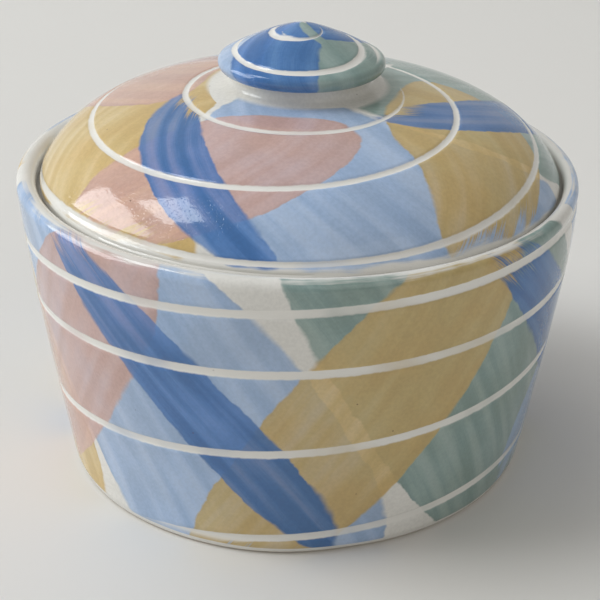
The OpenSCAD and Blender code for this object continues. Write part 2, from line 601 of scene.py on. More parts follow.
def give_way(wheel, pressed):
    """How far the soft lip was pushed in, on the side of +X, or the foot spread out, below 0, in mm."""
    given = wheel["given"]
    pushed = wheel["cos"].between(0.0, 1.0) * pressed.math("MAXIMUM", 0.0) * given("Press depth")
    facing = (wheel["angle"] - given("Spread side")).math("COSINE").between(SPREAD_REACH, 1.0)
    return pushed + facing * pressed.math("MINIMUM", 0.0) * given("Spread depth")


print("groove walls are", 2 * GROOVE_WALL, "mm wide")

# %% [markdown]
# Now the grid is rolled up. The finish is stored on the flat grid first, together with how far each point
# lies from the line, so the shader can show the line exactly where the groove is. The grid's two long
# edges meet at the seam and its ends on the axis, where a weld closes the form.

# %% The wheel: rolling up the grid
WELD = 1e-6


def close_form(wheel, finish, spot):
    """Stores the finish on the flat grid, moves its points to their spots and welds the form."""
    tree = wheel["tree"]
    shaped = wheel["grid"]
    for label, kind, value in finish:
        settings = {"data_type": kind, "domain": "POINT"}
        sockets = {"Geometry": shaped, "Name": label, "Value": value}
        shaped = Wire.node(tree, "GeometryNodeStoreNamedAttribute", settings, sockets)
    for kind, sockets in (
        ("SetPosition", {"Position": spot}),
        ("MergeByDistance", {"Distance": WELD}),
        ("FlipFaces", {}),
        ("SetShadeSmooth", {}),
        ("RealizeInstances", {}),
        ("SetMaterial", {"Material": wheel["given"]("Clay")}),
    ):
        shaped = Wire.node(tree, "GeometryNode" + kind, None, {0: shaped, **sockets})
    Wire.node(tree, "NodeGroupOutput", None, {"Turned": shaped})


def build_wheel():
    """The whole tree, from the flat grid to the closed form."""
    wheel = start_wheel()
    tree = wheel["tree"]
    place = drawn_together(wheel)
    r, _, z = between_rows(wheel, "position", place)
    n_r, n_z, _ = between_rows(wheel, "lie", place)
    painted, bare, inside = between_rows(wheel, "paint", place)
    hand, along, pressed = between_rows(wheel, "feel", place)
    gap, shown = line_marks(wheel, place, inside)
    cut = cut_depth(wheel, gap, shown, hand, along) * MM
    radius = (r - n_r * cut - give_way(wheel, pressed) * MM).math("MAXIMUM", 0.0)
    spot = vector(tree, radius * wheel["cos"], radius * wheel["sin"], z - n_z * cut)
    finish = (
        ("line_gap", "FLOAT", gap),
        ("along", "FLOAT", along),
        ("paint", "FLOAT_VECTOR", vector(tree, painted, bare, shown)),
    )
    close_form(wheel, finish, spot)
    return tree


wheel_tree = build_wheel()
print("wheel has", len(wheel_tree.nodes), "nodes")

# %% [markdown]
# Throwing a piece puts its profile on the wheel, sets the inputs, and keeps the result as a plain mesh.
# Edges that are truly sharp, as at the foot ring and under the knob, are marked so that the shading
# doesn't run round them.

# %% Throwing a piece
SHARP_EDGE = math.radians(50)


def throw(name, profile, material, line, **inputs):
    """Turns a profile on the wheel, cuts its line and returns the piece as a plain mesh object."""
    form = bpy.data.objects.new(name + "_profile", profile)
    scene.collection.objects.link(form)
    modifier = form.modifiers.new("wheel", "NODES")
    modifier.node_group = wheel_tree
    sockets = {s.name: s.identifier for s in wheel_tree.interface.items_tree if s.in_out == "INPUT"}
    modifier[sockets["Clay"]] = material
    for label in ("start", "begins", "width", "sway", "side"):
        modifier[sockets["Line " + label]] = line[label]
    for label, value in inputs.items():
        modifier[sockets[label.replace("_", " ").capitalize()]] = value
    depsgraph = bpy.context.evaluated_depsgraph_get()
    mesh = bpy.data.meshes.new_from_object(form.evaluated_get(depsgraph), depsgraph=depsgraph)
    bpy.data.objects.remove(form)
    mesh.name = name
    mesh.set_sharp_from_angle(angle=SHARP_EDGE)
    piece = bpy.data.objects.new(name, mesh)
    scene.collection.objects.link(piece)
    mesh.calc_loop_triangles()
    print(name, "has", len(mesh.loop_triangles), "triangles")
    return piece


# %% [markdown]
# The finish is built up as on the real pot: white clay, then brushed colours, then the line that shows
# the clay again, then glaze. The colours are thin washes, so a later stroke lets the earlier one show
# through.

# %% Pigments
def pigment(red, green, blue):
    """A colour given as it looks, from 0 to 255, in the linear values that a shader takes."""
    parts = [v / 255 for v in (red, green, blue)]
    linear = [v / 12.92 if v <= 0.04045 else ((v + 0.055) / 1.055) ** 2.4 for v in parts]
    return (*linear, 1.0)


WHITE = pigment(229, 227, 221)
CLOUDED_WHITE = pigment(222, 220, 214)
LINE_WHITE = pigment(234, 232, 226)
PERIWINKLE = pigment(164, 188, 221)
COBALT = pigment(74, 124, 186)
OCHRE = pigment(212, 183, 122)
SAGE = pigment(139, 163, 158)
ROSE = pigment(212, 176, 165)
BARE_CLAY = pigment(214, 203, 184)
IRON = pigment(74, 58, 44)
print("cobalt in linear values:", [round(v, 3) for v in COBALT[:3]])

# %% [markdown]
# Every colour needs to know where it lies on its piece. The angle comes from the object's own
# coordinates, and the rest from the attributes that the wheel stored. A UV map could hold the same, but
# it would have a seam. Three sizes of cloudy noise are shared by all colours, so that they vary
# together.

# %% Places on a glazed surface
WAVE_SIZE = 11 * MM
QUIVER_SIZE = 2.4 * MM
CLOUD_SIZE = 16 * MM


def mix_colour(tree, factor, below, above, blend="MIX"):
    """One colour over another, by a factor."""
    settings = {"data_type": "RGBA", "blend_type": blend}
    sockets = {"Factor_Float": factor, "A_Color": below, "B_Color": above}
    return Wire.node(tree, "ShaderNodeMix", settings, sockets, "Result_Color")


def toned(colour, red, green, blue):
    """A colour multiplied by three factors."""
    return mix_colour(colour.tree, 1.0, colour, vector(colour.tree, red, green, blue), "MULTIPLY")


def surface(tree, reach):
    """Where a point lies on its piece. Without a reach in mm, dabs widen away from the axis."""

    def stored(label, out):
        return Wire.node(tree, "ShaderNodeAttribute", {"attribute_name": label}, None, out)

    spot = Wire.node(tree, "ShaderNodeTexCoord", None, None, "Object")
    x, y, _ = spot.xyz()
    radius = (x * x + y * y).math("SQRT") / MM
    painted, bare, shown = stored("paint", "Vector").xyz()
    return {
        "spot": spot, "x": x, "y": y, "radius": radius,
        "angle": y.math("ARCTAN2", x),
        "along": stored("along", "Fac"),
        "reach": radius if reach is None else reach,
        "gap": stored("line_gap", "Fac"),
        "painted": painted, "bare": bare, "shown": shown,
        "wave": noise(spot, WAVE_SIZE),
        "quiver": noise(spot, QUIVER_SIZE),
        "cloud": noise(spot, CLOUD_SIZE),
    }


print("clouds of", [round(size / MM, 1) for size in (QUIVER_SIZE, WAVE_SIZE, CLOUD_SIZE)], "mm")

# %% [markdown]
# A stroke layer is a ring of brush dabs. Each dab could be a curve with a brush texture, but dabs are
# flat colour and need no mesh. So the surface is unrolled into cells, one for each dab, and numbers drawn
# for each cell move and stretch its dab a little, so no two are alike.

# %% Dabs: each point on its own dab
LENGTH_VARIES = 0.2
BOW_MIDDLE = 0.3
BAND_ACROSS = 0.21
BAND_ALONG = 0.018
BAND_OWN = 3.7
HAIR_ACROSS = 3.2
HAIR_ALONG = 0.14
HAIR_OWN = 1.9
BRISTLE_ROUGHNESS = 0.6


def dab_place(place, layer):
    """The number of a point's dab, and its place along and across that dab in mm, with the hand's swing."""
    tree = place["spot"].tree
    count = len(layer["colours"])
    width = place["reach"] * (math.tau / count)
    run = place["along"] - layer["middle"]
    cell = place["angle"] * (count / math.tau) + run * (layer["lean"] / 100) + layer["phase"]
    floor = cell.math("FLOOR")
    number = floor.math("FLOORED_MODULO", float(count))
    own = number + layer["seed"]
    chance = Wire.node(tree, "ShaderNodeTexWhiteNoise", {"noise_dimensions": "1D"}, {"W": own}, "Color")
    first, second, third = chance.xyz()
    run = run + (second - 0.5) * layer["stray"]
    share = run / ((1 - LENGTH_VARIES / 2 + third * LENGTH_VARIES) * (layer["length"] / 2))
    swing = (share * share - BOW_MIDDLE) * layer["bow"] + (first - 0.5) * layer["stray"]
    off_middle = cell - floor - 0.5
    across = off_middle * width + swing
    room = (0.5 - abs(off_middle)) * width - layer["gap"]
    return {"number": number, "own": own, "run": run, "share": share, "across": across, "room": room}


def bristles(dab):
    """Broad soft bands and fine hairs along a stroke."""
    across, run, own = dab["across"], dab["run"], dab["own"]
    band_place = vector(run.tree, across * BAND_ACROSS, run * BAND_ALONG, own * BAND_OWN)
    hair_place = vector(run.tree, across * HAIR_ACROSS, run * HAIR_ALONG, own * HAIR_OWN)
    return noise(band_place, 1.0, 1.0), noise(hair_place, 1.0, 3.0, BRISTLE_ROUGHNESS)


print("a dab's length varies by", LENGTH_VARIES)

# %% [markdown]
# A dab is a broad leaf, drawn in at both ends. The brush left some sides firm and some soft, and it ran
# dry where it was lifted. Inside the leaf the colour is a thin wash: uneven, darker where it pooled along
# the edge, and with the colour below showing through a little.

# %% Dabs: leaf and wash
QUIVER = 1.4
SIDE_SOFT = (0.35, 1.3)
SIDE_CLOUD = (0.5, 0.7)
TIP = (0.94, 1.0)
LIFT = (0.5, 1.0)
DRY_CLUMPS = 0.6
DRY_HAIRS = 1.4
DRY_LIFT = 0.9
DRY_BIAS = 0.1
DRY_SOFT = 0.45
STREAK_BANDS = 0.6
STREAK_HAIRS = 0.13
STREAK_CLOUD = 0.27
STREAK_SPAN = (0.36, 0.64)
STREAK_LIGHT = 0.8
POOL_SPAN = (0.1, 1.6)
POOL_TONE = 0.94
WARM_CLOUD = (0.35, 0.65)
WARM_TONE = (0.97, 1.02)
BODY_SPAN = (0.3, 0.6)


def leaf_cover(place, layer, dab, bands, hairs):
    """How far inside its leaf a point lies, in mm, and how well the brush covered it."""
    share = dab["share"]
    leaf = (1.0 - (abs(share) ** layer["blunt"]).math("MINIMUM", 1.0)) ** layer["point"]
    wave = (place["wave"] - 0.5) * layer["rough"] + (place["quiver"] - 0.5) * QUIVER
    inside = (leaf * (layer["width"] / 2) - abs(dab["across"])).math("MINIMUM", dab["room"]) + wave
    soft = place["cloud"].between(*SIDE_CLOUD, *SIDE_SOFT)
    lifted = (share * layer["lift"] + (bands - 0.5) * DRY_CLUMPS).between(*LIFT)
    dry = (hairs * DRY_HAIRS - lifted * DRY_LIFT + DRY_BIAS).between(0.0, DRY_SOFT)
    return inside, (inside / soft).between(-1.0, 1.0) * abs(share).between(*TIP, 1.0, 0.0) * dry


def wash(below, place, layer, dab, inside, streak):
    """The colour of a dab, as it looks over the colour below."""
    tree = below.tree
    count = len(layer["colours"])
    stops = [(i / count, colour) for i, colour in enumerate(layer["colours"])]
    ramp = Wire.node(tree, "ShaderNodeValToRGB", {"stops": stops}, {0: (dab["number"] + 0.5) / count})
    colour = mix_colour(tree, layer["sheer"], ramp, mix_colour(tree, 1.0, ramp, below, "MULTIPLY"))
    light, dark = 1.0 + layer["streaks"] * STREAK_LIGHT, 1.0 - layer["streaks"]
    tone = streak.between(*STREAK_SPAN, light, dark) * inside.between(*POOL_SPAN, POOL_TONE, 1.0)
    warm = place["cloud"].between(*WARM_CLOUD, *WARM_TONE)
    return toned(colour, tone * warm, tone, tone / warm)


def dab_layer(below, place, layer):
    """Brushes one ring of dabs over the colour below, and returns the new colour."""
    dab = dab_place(place, layer)
    bands, hairs = bristles(dab)
    inside, cover = leaf_cover(place, layer, dab, bands, hairs)
    streak = bands * STREAK_BANDS + hairs * STREAK_HAIRS + place["cloud"] * STREAK_CLOUD
    colour = wash(below, place, layer, dab, inside, streak)
    body = streak.between(*BODY_SPAN, 1.0 - layer["thin"], 1.0)
    return mix_colour(below.tree, cover * body, below, colour)


print("the sides of a dab are", SIDE_SOFT[0], "to", SIDE_SOFT[1], "mm soft")

# %% [markdown]
# Two kinds of brush were used: a broad one for pale, sheer dabs, and a loaded one for narrow dark
# leaves. A layer names its colours in the order of its cells, and says only what differs from the usual
# dab.

# %% Brushes
DAB_SHAPE = {"lean": 0.7, "phase": 0.0, "bow": 4.0, "blunt": 2.4, "point": 0.6, "lift": 1.0, "gap": 1.2}
DAB_HAND = {"seed": 1.0, "stray": 5.0, "rough": 3.0, "sheer": 0.2, "thin": 0.18, "streaks": 0.09}


def dabs(colours, **more):
    """A layer of dabs: sizes in mm, lean in cells for 100 mm, and how loosely it was painted."""
    return {**DAB_SHAPE, **DAB_HAND, "colours": colours, **more}


def dark_leaves(count, **more):
    """A ring of cobalt leaves from a loaded brush, which went on dense and ran thin."""
    return dabs([COBALT] * count, sheer=0.1, thin=0.3, streaks=0.2, **more)


print("a dab is told by", sorted(dabs([])))

# %% [markdown]
# Under the glass lie the clay, the dabs, the scraped line, a few iron specks, and the places that were
# wiped bare. Each is a short function from the colour below it to the colour with it, in the order in
# which they were laid on. Where the paint ends, the brush ran dry in streaks that follow the turn.

# %% Colours under the glass
CLAY_CLOUD = (0.3, 0.7)
MOTTLE_SIZE = 0.8 * MM
MOTTLE_TONE = (0.96, 1.035)
BRISTLE_RUN = 14 * MM
BRISTLE_RISE = 1.1
EDGE_WAVE = 1.2
EDGE_SPAN = (0.25, 0.75)
FRONT = (-0.9 * MM, -0.3 * MM)
FRAY_SIZE = 1.6 * MM
FRAY = 0.35
LINE_SOFT = 0.2
WORN_SIZE = 24 * MM
WORN_CLOUD = (0.45, 0.7)
WORN = 0.6
SPECK_CELL = 7.0 * MM
SPECK_SPAN = (0.02, 0.04)
SPECK_LUCK = (0.3, 0.9)
SPECK_STRENGTH = 0.6


def brushed(place, layers, wiped):
    """White clay with a faint cloudiness and its dabs. Their edge was wiped back in front, by a share."""
    tree = place["spot"].tree
    white = mix_colour(tree, place["cloud"].between(*CLAY_CLOUD), WHITE, CLOUDED_WHITE)
    colour = white
    for layer in layers:
        colour = dab_layer(colour, place, layer)
    mottle = noise(place["spot"], MOTTLE_SIZE).between(*CLAY_CLOUD, *MOTTLE_TONE)
    colour = toned(colour, mottle, mottle, mottle)
    spot = vector(tree, place["x"] / BRISTLE_RUN, place["y"] / BRISTLE_RUN, place["along"] * BRISTLE_RISE)
    bristle = noise(spot, 1.0, 3.0, BRISTLE_ROUGHNESS)
    front = (place["y"] / place["radius"]).between(*FRONT, 1.0, 0.0)
    edge = place["painted"] + (place["wave"] - 0.5) * EDGE_WAVE + (bristle - 0.5) - front * wiped
    return mix_colour(tree, edge.between(*EDGE_SPAN), white, colour)


def scraped(colour, place, line_width):
    """The line, scraped down to the clay, with a little colour left along its edges."""
    fray = (noise(place["spot"], FRAY_SIZE) - 0.5) * FRAY
    half = line_width / 2
    line = (place["gap"] + fray).between(half - LINE_SOFT, half + LINE_SOFT, 1.0, 0.0)
    clean = noise(place["spot"], WORN_SIZE, 3.0).between(*WORN_CLOUD, 1.0, WORN)
    return mix_colour(colour.tree, line * clean * place["shown"], colour, LINE_WHITE)


def specked(colour, place):
    """Iron specks, each as dark as its cell's luck has it, and bare clay."""
    sockets = {"Vector": place["spot"], "Scale": 1 / SPECK_CELL}
    cells = Wire.node(colour.tree, "ShaderNodeTexVoronoi", None, sockets)
    luck, _, _ = cells.out("Color").xyz()
    dot = cells.between(*SPECK_SPAN, 1.0, 0.0) * luck.between(*SPECK_LUCK)
    colour = mix_colour(colour.tree, dot * SPECK_STRENGTH, colour, IRON)
    return mix_colour(colour.tree, place["bare"], colour, BARE_CLAY)


print("specks lie about", round(SPECK_CELL / MM, 1), "mm apart")

# %% [markdown]
# The glaze is one shader for all three pieces. Bare clay is matt, and the rest is glossy, with a faint
# orange-peel surface, a fine ripple and pinholes. A separate coat isn't needed, because the colours lie
# under the glass and share its one surface.

# %% Glaze
PEEL_SIZE = 4.5 * MM
PEEL_DEPTH = 0.10
THROW_RUN = 30 * MM
THROW_RISE = 0.7
THROW_DEPTH = 0.06
RIPPLE_SIZE = 0.9 * MM
RIPPLE_DEPTH = 0.014
PIT_SIZE = 0.55 * MM
PIT_SPAN = (0.58, 0.72)
PIT_DEPTH = 0.03
GRAIN_SIZE = 0.5 * MM
GRAIN_DEPTH = 0.12
HEIGHT_UNIT = 1.0 * MM
BUMP_STRENGTH = 0.5
GLOSS = 0.05
GLOSS_VARIES = 0.06
MATT = 0.85
GLASS_IOR = 1.6


def glass_height(place):
    """The unevenness of a glaze that melted and froze over the marks of throwing, and the grain of clay."""
    spot = place["spot"]
    turned = vector(spot.tree, place["x"] / THROW_RUN, place["y"] / THROW_RUN, place["along"] * THROW_RISE)
    peel = noise(spot, PEEL_SIZE, 1.0) * PEEL_DEPTH
    rings = noise(turned) * THROW_DEPTH
    ripple = noise(spot, RIPPLE_SIZE, 1.0) * RIPPLE_DEPTH
    pit = noise(spot, PIT_SIZE, 1.0).between(*PIT_SPAN) * PIT_DEPTH
    grain = noise(spot, GRAIN_SIZE) * place["bare"] * GRAIN_DEPTH
    return peel + rings + ripple - pit + grain


def glaze(name, layers, line_width, reach=None, wiped=0.0):
    """Clear glaze over brushed dabs and the drawn line."""
    material = bpy.data.materials.new(name)
    material.use_nodes = True
    tree = material.node_tree
    tree.nodes.clear()
    place = surface(tree, reach)
    colour = brushed(place, layers, wiped)
    colour = scraped(colour, place, line_width)
    colour = specked(colour, place)
    bare = place["bare"]
    rough = (GLOSS + place["cloud"] * GLOSS_VARIES) * (1.0 - bare) + bare * MATT
    sockets = {"Strength": BUMP_STRENGTH, "Distance": HEIGHT_UNIT, "Height": glass_height(place)}
    bump = Wire.node(tree, "ShaderNodeBump", None, sockets)
    sockets = {"Base Color": colour, "Roughness": rough, "Normal": bump, "IOR": GLASS_IOR}
    shader = Wire.node(tree, "ShaderNodeBsdfPrincipled", None, sockets)
    Wire.node(tree, "ShaderNodeOutputMaterial", None, {"Surface": shader})
    print(name, "has", len(tree.nodes), "nodes")
    return material


# %% [markdown]
# The pot: a foot ring that was wiped bare, a wall that swells a little, and a round lip. On its right the
# lip was pushed in a little while it was soft, and the foot spread a little at the front left. The solid
# could be dressed as it is, but its facets would show in the gloss, so the pot is thrown anew with many
# rows, and closer ones where the line is cut.

# %% The crock: foot, wall and lip
BASE_R = 58 * MM
WALL_BELLY = 0.9 * MM
HEEL_R = 1.9 * MM
HEEL_END = -10
FOOT_W = 7 * MM
FOOT_HOLLOW = 2 * MM
LIP_T = 4.8 * MM
LIP_C = (RIM_R - LIP_T / 2, LIP_Z - LIP_T / 2)
PAINT_TOP = 72.8 * MM
PAINT_FADE = 2.4 * MM
PRESS_FOOT = 52 * MM
PRESS_DEPTH = 1.1
PRESS_CREST = 0.6
SPREAD_TOP = 16 * MM
SPREAD_DEPTH = 1.8
SPREAD_SIDE = math.radians(240)
RING_STEP = 1.4 * MM
CORNER_STEP = 1.0 * MM
LEAST_STEP = 0.3 * MM

wall_curve = swell((BASE_R, 0.0), (RIM_R, LIP_C[1]), WALL_BELLY)


def foot_spread(line):
    """How far the soft foot gave way at each point of a line. It fades out upwards."""
    return -np.clip(1 - line[:, 1] / SPREAD_TOP, 0, 1) ** 2


def outside_zones():
    """From the axis under the foot, over the ring and the heel, up the wall and over the lip."""
    heel_c = (BASE_R - HEEL_R, HEEL_R)
    heel = arc(heel_c, HEEL_R, -90, HEEL_END)
    heel_low = heel[: len(heel) // 2 + 1]
    heel_high = heel[len(heel) // 2:]
    foot_r = heel_c[0] - FOOT_W
    under = [(0, FOOT_HOLLOW), (foot_r - FOOT_HOLLOW, FOOT_HOLLOW)]
    ring = evenly([(foot_r, 0), (heel_c[0], 0)], RING_STEP)
    wall = curve(*wall_curve, FINE_STEP)
    wall = np.vstack([heel[-1:], wall[wall[:, 1] > heel[-1, 1] + LEAST_STEP]])
    pushed = np.clip((wall[:, 1] - PRESS_FOOT) / (LIP_C[1] - PRESS_FOOT), 0, 1) ** 2
    lip_out = np.vstack([wall[-1:], arc(LIP_C, LIP_T / 2, 0, 90)[1:]])
    lip_in = arc(LIP_C, LIP_T / 2, 90, 180)
    return [
        {"line": evenly(under, PLAIN_STEP), "bare": 1.0},
        {"line": evenly([under[1], ring[0]], CORNER_STEP), "bare": 1.0},
        {"line": ring, "bare": 1.0, "pressed": np.linspace(0, -1, len(ring))},
        {"line": heel_low, "bare": 1.0, "pressed": foot_spread(heel_low)},
        {"line": heel_high, "pressed": foot_spread(heel_high)},
        {
            "line": wall,
            "painted": paint_edge(wall, PAINT_TOP, PAINT_FADE),
            "lined": 1.0,
            "hand": (0, 1, 1, 0.7),
            "pressed": pushed + foot_spread(wall),
            "first": True,
        },
        {
            "line": lip_out,
            "painted": paint_edge(lip_out, PAINT_TOP, PAINT_FADE),
            "hand": (0.7, 0.7, 0.6, 0.6),
            "pressed": np.linspace(1, PRESS_CREST, len(lip_out)),
        },
        {"line": lip_in, "hand": (0.6, 0.4, 0.1, 0), "pressed": np.linspace(PRESS_CREST, 0, len(lip_in))},
    ]


crock_outside = outside_zones()
print("the outside of the crock has", len(crock_outside), "zones")

# %% [markdown]
# Inside the lip a ledge carries the lid. It was wiped bare, so that the lid doesn't stick to it in the
# kiln, and a slope braces it from below. The wall runs down from there and rounds into the floor. The lid
# hides all this at rest, but it lifts off, so the inside is finished too.

# %% The crock: seat and inside
WALL_T = 5 * MM
SEAT_W = 4.7 * MM
SEAT_T = 3.5 * MM
BRACE_H = 4.5 * MM
SEAT_ROUND = 0.8 * MM
FLOOR_Z = 8 * MM
FLOOR_ROUND = 9 * MM
CORNER_RUN = FLOOR_ROUND * 1.06
CORNER_LEAN = 1.0 * MM
CORNER_DOWN = FLOOR_ROUND * 0.55
CORNER_BACK = FLOOR_ROUND * 0.5
INSIDE_STEP = 1.6 * MM
SEAT_STEP = 0.9 * MM


def floor_corner(wall_end):
    """The round corner from a point on the inside of the wall down to the floor."""
    end = (wall_end[0] - CORNER_RUN, FLOOR_Z)
    down = (wall_end[0] - CORNER_LEAN, wall_end[1] - CORNER_DOWN)
    back = (end[0] + CORNER_BACK, FLOOR_Z)
    return curve(wall_end, down, back, end, CORNER_STEP)


def inside_zones(lip_end):
    """From the inner side of the lip, over the ledge and down the wall to the middle of the floor."""
    gallery_r = RIM_R - LIP_T
    ledge_r = gallery_r - SEAT_W
    ledge_out = arc((gallery_r - SEAT_ROUND, SEAT_Z + SEAT_ROUND), SEAT_ROUND, 0, -90)
    ledge_in = arc((ledge_r + SEAT_ROUND, SEAT_Z - SEAT_ROUND), SEAT_ROUND, 90, 180)
    inner = curve(*wall_curve, INSIDE_STEP, inset=WALL_T)
    wall_end = inner[np.argmin(abs(inner[:, 1] - FLOOR_Z - FLOOR_ROUND))]
    corner = floor_corner(wall_end)
    wall = inner[(inner[:, 1] < SEAT_Z - SEAT_T - BRACE_H) & (inner[:, 1] > wall_end[1])][::-1]
    brace = [ledge_in[-1], (ledge_r, SEAT_Z - SEAT_T), wall[0]]
    return [
        {"line": np.vstack([lip_end, ledge_out])},
        {"line": evenly([ledge_out[-1], ledge_in[0]], SEAT_STEP), "bare": 1.0},
        {"line": ledge_in},
        {"line": evenly(brace, CORNER_STEP)},
        {"line": wall, "hand": (0, 1, 1, 1)},
        {"line": np.vstack([wall[-1:], corner]), "hand": (1, 1, 0.6, 0.6)},
        {"line": evenly([corner[-1], (0, FLOOR_Z)], PLAIN_STEP), "hand": (0.6, 0.6, 0.6, 0)},
    ]


crock_zones = crock_outside + inside_zones(crock_outside[-1]["line"][-1])
crock_profile, _ = profile_mesh("crock_profile", crock_zones, lambda at, along: wall_turns(at[:, 1]))

# %% [markdown]
# The paint goes up the wall to the crest of the lip. Broad dabs lean all round it in one ring, a second
# ring crosses them the other way, and narrow dark leaves come last.

# %% Paint and glaze on the crock
WALL_MIDDLE = 36
WALL_REACH = 63.0
WALL_LAYERS = (
    dabs(
        [PERIWINKLE, ROSE, OCHRE, PERIWINKLE, SAGE],
        width=77, length=124, middle=WALL_MIDDLE, phase=0.1, seed=3.0, blunt=3.0,
    ),
    dabs(
        [PERIWINKLE, SAGE, PERIWINKLE, ROSE, OCHRE],
        width=44, length=92, middle=WALL_MIDDLE, phase=0.55, seed=11.0, lean=-0.8, lift=-1.0,
    ),
    dark_leaves(4, width=23, length=80, middle=WALL_MIDDLE, phase=0.72, seed=23.0, lean=0.85),
)
crock_glaze = glaze("crock_glaze", WALL_LAYERS, WALL_LINE["width"], reach=WALL_REACH)
crock_feel = {"press_depth": PRESS_DEPTH, "spread_depth": SPREAD_DEPTH, "spread_side": SPREAD_SIDE}
crock = throw("glazed_crock", crock_profile, crock_glaze, WALL_LINE, columns=400, seed=2.0, **crock_feel)

# %% [markdown]
# The lid: a shouldered dome with a rolled edge, hollow below, with a flat ring that rests on the ledge.
# Its distance along the profile is counted from the foot of the dome, so that the line and the dabs can
# follow the curve instead of the height.

# %% The lid's outline
LID_T = 5 * MM
LID_EDGE_H = 2.7 * MM
LID_EDGE_ROLL = 2.5 * MM
LID_HEEL_R = 0.8 * MM
DOME_EDGE_SLOPE = 65
CROWN_SLOPE = 5.5
SHOULDER_REACH = 12.6 * MM
CROWN_REACH = 20 * MM
LID_PAINT_Z = 71.4 * MM
LID_PAINT_FADE = 2.4 * MM
DOME_STEP = 0.5 * MM
HOLLOW_STEP = 1.5 * MM
REST_STEP = 0.6 * MM


def heading(slope):
    """Unit step that rises at a slope in degrees while it runs towards the axis."""
    return np.array([-math.cos(math.radians(slope)), math.sin(math.radians(slope))])


def lid_zones():
    """Hollow, resting ring, rolled edge and dome, in the order of the profile."""
    roll_c = (LID_R - LID_EDGE_ROLL, SEAT_Z + LID_EDGE_H)
    edge = arc(roll_c, LID_EDGE_ROLL, 0, 90 - DOME_EDGE_SLOPE)
    crown = np.array([NECK_FOOT_R, CROWN_Z])
    handles = (
        edge[-1],
        edge[-1] + SHOULDER_REACH * heading(DOME_EDGE_SLOPE),
        crown - CROWN_REACH * heading(CROWN_SLOPE),
        crown,
    )
    dome = curve(*handles, DOME_STEP)
    hollow = curve(*handles, HOLLOW_STEP, inset=LID_T)[::-1]
    heel = arc((LID_R - LID_HEEL_R, SEAT_Z + LID_HEEL_R), LID_HEEL_R, -90, 0)
    rest = (hollow[-1, 0], SEAT_Z)
    rolled = np.vstack([heel[-1:], edge])
    return [
        {"line": evenly([(0, CROWN_Z - LID_T), hollow[0]], PLAIN_STEP), "hand": (0, 0.5, 0.6, 0.6)},
        {"line": hollow, "hand": (0.6, 0.6, 0.6, 0)},
        {"line": evenly([hollow[-1], rest], REST_STEP)},
        {"line": evenly([rest, heel[0]], SEAT_STEP), "bare": 1.0},
        {"line": heel},
        {"line": rolled, "painted": paint_edge(rolled, LID_PAINT_Z, -LID_PAINT_FADE), "lined": 1.0},
        {
            "line": dome,
            "painted": paint_edge(dome, LID_PAINT_Z, -LID_PAINT_FADE),
            "lined": 1.0,
            "hand": (0, 1, 1, 0),
            "first": True,
        },
        {"line": evenly([crown, (0, CROWN_Z)], PLAIN_STEP), "painted": 1.0},
    ]


lid_profile, lid_end = profile_mesh("lid_profile", lid_zones(), lambda at, along: lid_turns(along))

# %% [markdown]
# On the lid the dabs fan out from the knob like a pinwheel, and they widen with their distance from the
# axis. The edge of the paint was wiped back in front, and the last turn of the line runs off the lid's
# edge.

# %% Paint and glaze on the lid
LID_MIDDLE = 21
LID_WIPED = 0.7
LID_LAYERS = (
    dabs(
        [SAGE, PERIWINKLE, OCHRE, PERIWINKLE],
        width=92, length=66, middle=14, phase=0.3, seed=5.0, lean=0.9, blunt=4.0, lift=0.0,
    ),
    dabs(
        [OCHRE, SAGE, ROSE, ROSE],
        width=46, length=48, middle=LID_MIDDLE, phase=0.8, seed=17.0, lean=-0.9, lift=-1.0,
    ),
    dark_leaves(3, width=22, length=46, middle=LID_MIDDLE, phase=0.55, seed=29.0, lean=1.2),
)
lid_glaze = glaze("lid_glaze", LID_LAYERS, LID_LINE["width"], wiped=LID_WIPED)
lid = throw("glazed_lid", lid_profile, lid_glaze, LID_LINE, columns=432, seed=7.0)

# %% [markdown]
# The knob: a neck that flares into the lid, a rolled edge to lift by, and a low cone with a soft tip.
# It could be one mesh with the lid, but the real one was thrown apart and luted on, and as a piece of
# its own it has its own spiral. Its distance along the profile goes on where the lid's ends, so the
# lid's dabs run up its neck without a break.

# %% The knob's outline
KNOB_R = 19.6 * MM
KNOB_ROLL = 1.9 * MM
KNOB_CONE_H = 7.5 * MM
KNOB_CONE_POWER = 1.35
NECK_R = 16 * MM
NECK_WAIST_H = 3.1 * MM
THROAT_STEP = 0.4 * MM
ROLL_STEP = 0.3 * MM
CONE_STEP = 0.38 * MM
CONE_SAMPLES = 200


